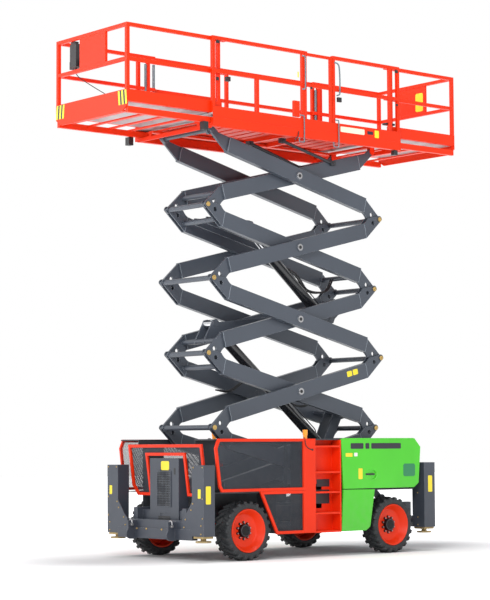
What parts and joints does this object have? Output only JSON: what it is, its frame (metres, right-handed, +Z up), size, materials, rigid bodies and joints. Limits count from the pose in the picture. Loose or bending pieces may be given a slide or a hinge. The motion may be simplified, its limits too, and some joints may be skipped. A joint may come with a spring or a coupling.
{
  "type": "scissor lift",
  "caption": "Rough-terrain scissor lift raised on a multi-level arm stack, with a railed platform, roll-out decks at both ends, lugged wheels and levelling jacks.",
  "frame": {"origin": "on the ground under the middle of the extended platform", "axes": "+X forward, towards the control-box end; +Y the machine's left; +Z up"},
  "size_m": [6.48, 2.284, 7.4642],
  "materials": {
    "grey_paint": "satin, weathered",
    "orange_paint": "satin, weathered",
    "green_paint": "gloss",
    "dark_paint": "satin",
    "blue_grey_paint": "satin",
    "mesh": "satin",
    "deck_plate": "chequered",
    "rim_paint": "satin",
    "tyre_rubber": "matt",
    "cylinder_paint": "gloss",
    "rod_chrome": "polished",
    "cast_hub": "painted",
    "pad_metal": "passivated",
    "beacon_amber": "gloss",
    "control_plastic": "matt",
    "engine_iron": "painted"
  },
  "bodies": {
    "chassis": {"chassis_frame": "blue_grey_paint", "axles": "cast_hub", "body_shell": "dark_paint", "guard_frames": "orange_paint", "guard_mesh": "mesh", "power_module": "blue_grey_paint", "ladder_columns": "orange_paint", "lower_side_panels": "green_paint", "engine_block": "engine_iron", "outrigger_housings": "blue_grey_paint", "beacons": "beacon_amber"},
    "engine_cover_left": {"engine_cover_left": "green_paint"},
    "knuckle_left": {"knuckle_left": "cast_hub"},
    "engine_cover_right": {"engine_cover_right": "green_paint"},
    "knuckle_right": {"knuckle_right": "cast_hub"},
    "wheel_fl": {"tyre_fl": "tyre_rubber", "rim_fl": "rim_paint"},
    "wheel_fr": {"tyre_fr": "tyre_rubber", "rim_fr": "rim_paint"},
    "wheel_rl": {"tyre_rl": "tyre_rubber", "rim_rl": "rim_paint"},
    "wheel_rr": {"tyre_rr": "tyre_rubber", "rim_rr": "rim_paint"},
    "outrigger_front_left": {"outrigger_front_left": "pad_metal"},
    "outrigger_front_right": {"outrigger_front_right": "pad_metal"},
    "outrigger_rear_left": {"outrigger_rear_left": "pad_metal"},
    "outrigger_rear_right": {"outrigger_rear_right": "pad_metal"},
    "outer_arm_1": {"outer_arm_1": "grey_paint"},
    "inner_arm_1": {"inner_arm_1": "grey_paint"},
    "outer_arm_2": {"outer_arm_2": "grey_paint"},
    "inner_arm_2": {"inner_arm_2": "grey_paint"},
    "outer_arm_3": {"outer_arm_3": "grey_paint"},
    "inner_arm_3": {"inner_arm_3": "grey_paint"},
    "outer_arm_4": {"outer_arm_4": "grey_paint"},
    "inner_arm_4": {"inner_arm_4": "grey_paint"},
    "outer_arm_5": {"outer_arm_5": "grey_paint"},
    "inner_arm_5": {"inner_arm_5": "grey_paint"},
    "lower_barrel": {"lower_barrel": "cylinder_paint"},
    "lower_rod": {"lower_rod": "rod_chrome"},
    "upper_barrel": {"upper_barrel": "cylinder_paint"},
    "upper_rod": {"upper_rod": "rod_chrome"},
    "platform": {"platform_frame": "orange_paint", "platform_floor": "deck_plate", "platform_rails": "orange_paint"},
    "entry_gate": {"entry_gate": "orange_paint"},
    "front_deck": {"front_deck": "orange_paint", "front_deck_rails": "orange_paint", "control_box": "control_plastic", "control_cable": "control_plastic"},
    "rear_deck": {"rear_deck": "orange_paint", "rear_deck_rails": "orange_paint"}
  },
  "joints": [
    {"name": "lift", "type": "hinge", "parent": "chassis", "child": "outer_arm_1", "pos_m": [-1.795, 0, 0.8], "axis": [0, -1, 0], "range_deg": [-14.08, 40.6]},
    {"name": "outer_2", "type": "hinge", "parent": "outer_arm_1", "child": "outer_arm_2", "pos_m": [1.5148, 0, 1.875], "axis": [0, -1, 0], "range_deg": [-81.3, 28.3]},
    {"name": "outer_3", "type": "hinge", "parent": "outer_arm_2", "child": "outer_arm_3", "pos_m": [-1.795, 0, 2.95], "axis": [0, -1, 0], "range_deg": [-28.3, 81.3]},
    {"name": "outer_4", "type": "hinge", "parent": "outer_arm_3", "child": "outer_arm_4", "pos_m": [1.5148, 0, 4.025], "axis": [0, -1, 0], "range_deg": [-81.3, 28.3]},
    {"name": "outer_5", "type": "hinge", "parent": "outer_arm_4", "child": "outer_arm_5", "pos_m": [-1.795, 0, 5.1], "axis": [0, -1, 0], "range_deg": [-28.3, 81.3]},
    {"name": "inner_1", "type": "hinge", "parent": "outer_arm_1", "child": "inner_arm_1", "pos_m": [-0.1401, 0, 1.3375], "axis": [0, -1, 0], "range_deg": [-81.3, 28.3]},
    {"name": "inner_2", "type": "hinge", "parent": "outer_arm_2", "child": "inner_arm_2", "pos_m": [-0.1401, 0, 2.4125], "axis": [0, -1, 0], "range_deg": [-28.3, 81.3]},
    {"name": "inner_3", "type": "hinge", "parent": "outer_arm_3", "child": "inner_arm_3", "pos_m": [-0.1401, 0, 3.4875], "axis": [0, -1, 0], "range_deg": [-81.3, 28.3]},
    {"name": "inner_4", "type": "hinge", "parent": "outer_arm_4", "child": "inner_arm_4", "pos_m": [-0.1401, 0, 4.5625], "axis": [0, -1, 0], "range_deg": [-28.3, 81.3]},
    {"name": "inner_5", "type": "hinge", "parent": "outer_arm_5", "child": "inner_arm_5", "pos_m": [-0.1401, 0, 5.6375], "axis": [0, -1, 0], "range_deg": [-81.3, 28.3]},
    {"name": "platform_level", "type": "hinge", "parent": "inner_arm_5", "child": "platform", "pos_m": [-1.795, 0, 6.175], "axis": [0, -1, 0], "range_deg": [-14.2, 40.7]},
    {"name": "lower_barrel_swing", "type": "hinge", "parent": "inner_arm_2", "child": "lower_barrel", "pos_m": [-1.1, 0, 1.6], "axis": [0, -1, 0], "range_deg": [-5, 1.8]},
    {"name": "lower_rod_stroke", "type": "slide", "parent": "lower_barrel", "child": "lower_rod", "axis": [0.7711, 0, 0.6367], "range_m": [-0.25, 0.7]},
    {"name": "upper_barrel_swing", "type": "hinge", "parent": "inner_arm_3", "child": "upper_barrel", "pos_m": [-1.18, 0, 3.547], "axis": [0, -1, 0], "range_deg": [-26.5, 76.1]},
    {"name": "upper_rod_stroke", "type": "slide", "parent": "upper_barrel", "child": "upper_rod", "axis": [0.7663, 0, 0.6425], "range_m": [-0.38, 1.07]},
    {"name": "steer_left", "type": "hinge", "parent": "chassis", "child": "knuckle_left", "pos_m": [1.32, 0.8, 0.419], "axis": [0, 0, 1], "range_deg": [-25, 25]},
    {"name": "steer_right", "type": "hinge", "parent": "chassis", "child": "knuckle_right", "pos_m": [1.32, -0.8, 0.419], "axis": [0, 0, 1], "range_deg": [-25, 25]},
    {"name": "spin_fl", "type": "hinge", "parent": "knuckle_left", "child": "wheel_fl", "pos_m": [1.32, 0.99, 0.419], "axis": [0, 1, 0], "continuous": true},
    {"name": "spin_fr", "type": "hinge", "parent": "knuckle_right", "child": "wheel_fr", "pos_m": [1.32, -0.99, 0.419], "axis": [0, 1, 0], "continuous": true},
    {"name": "spin_rl", "type": "hinge", "parent": "chassis", "child": "wheel_rl", "pos_m": [-1.52, 0.99, 0.419], "axis": [0, 1, 0], "continuous": true},
    {"name": "spin_rr", "type": "hinge", "parent": "chassis", "child": "wheel_rr", "pos_m": [-1.52, -0.99, 0.419], "axis": [0, 1, 0], "continuous": true},
    {"name": "leg_front_left", "type": "slide", "parent": "chassis", "child": "outrigger_front_left", "axis": [0, 0, -1], "range_m": [0, 0.35]},
    {"name": "leg_front_right", "type": "slide", "parent": "chassis", "child": "outrigger_front_right", "axis": [0, 0, -1], "range_m": [0, 0.35]},
    {"name": "leg_rear_left", "type": "slide", "parent": "chassis", "child": "outrigger_rear_left", "axis": [0, 0, -1], "range_m": [0, 0.35]},
    {"name": "leg_rear_right", "type": "slide", "parent": "chassis", "child": "outrigger_rear_right", "axis": [0, 0, -1], "range_m": [0, 0.35]},
    {"name": "front_deck_roll", "type": "slide", "parent": "platform", "child": "front_deck", "axis": [1, 0, 0], "range_m": [-1.45, 0]},
    {"name": "rear_deck_roll", "type": "slide", "parent": "platform", "child": "rear_deck", "axis": [-1, 0, 0], "range_m": [-1.15, 0]},
    {"name": "gate_swing", "type": "hinge", "parent": "platform", "child": "entry_gate", "pos_m": [-0.034, 0.89, 6.675], "axis": [0, 0, 1], "range_deg": [0, 90]},
    {"name": "cover_left_lift", "type": "hinge", "parent": "chassis", "child": "engine_cover_left", "pos_m": [-1.3, 1.13, 1.71], "axis": [1, 0, 0], "range_deg": [0, 75]},
    {"name": "cover_right_lift", "type": "hinge", "parent": "chassis", "child": "engine_cover_right", "pos_m": [-1.3, -1.13, 1.71], "axis": [-1, 0, 0], "range_deg": [0, 75]}
  ],
  "couplings": [
    {"joint": "outer_2", "follows": "lift", "ratio": -2},
    {"joint": "outer_3", "follows": "lift", "ratio": 2},
    {"joint": "outer_4", "follows": "lift", "ratio": -2},
    {"joint": "outer_5", "follows": "lift", "ratio": 2},
    {"joint": "inner_1", "follows": "lift", "ratio": -2},
    {"joint": "inner_2", "follows": "lift", "ratio": 2},
    {"joint": "inner_3", "follows": "lift", "ratio": -2},
    {"joint": "inner_4", "follows": "lift", "ratio": 2},
    {"joint": "inner_5", "follows": "lift", "ratio": -2},
    {"joint": "platform_level", "follows": "lift", "ratio": 1},
    {"joint": "lower_barrel_swing", "follows": "lift", "ratio": -0.12},
    {"joint": "lower_rod_stroke", "follows": "lift", "m_per_rad": 0.96},
    {"joint": "upper_barrel_swing", "follows": "lift", "ratio": 1.87},
    {"joint": "upper_rod_stroke", "follows": "lift", "m_per_rad": 1.49},
    {"joint": "steer_right", "follows": "steer_left", "ratio": 1}
  ]
}
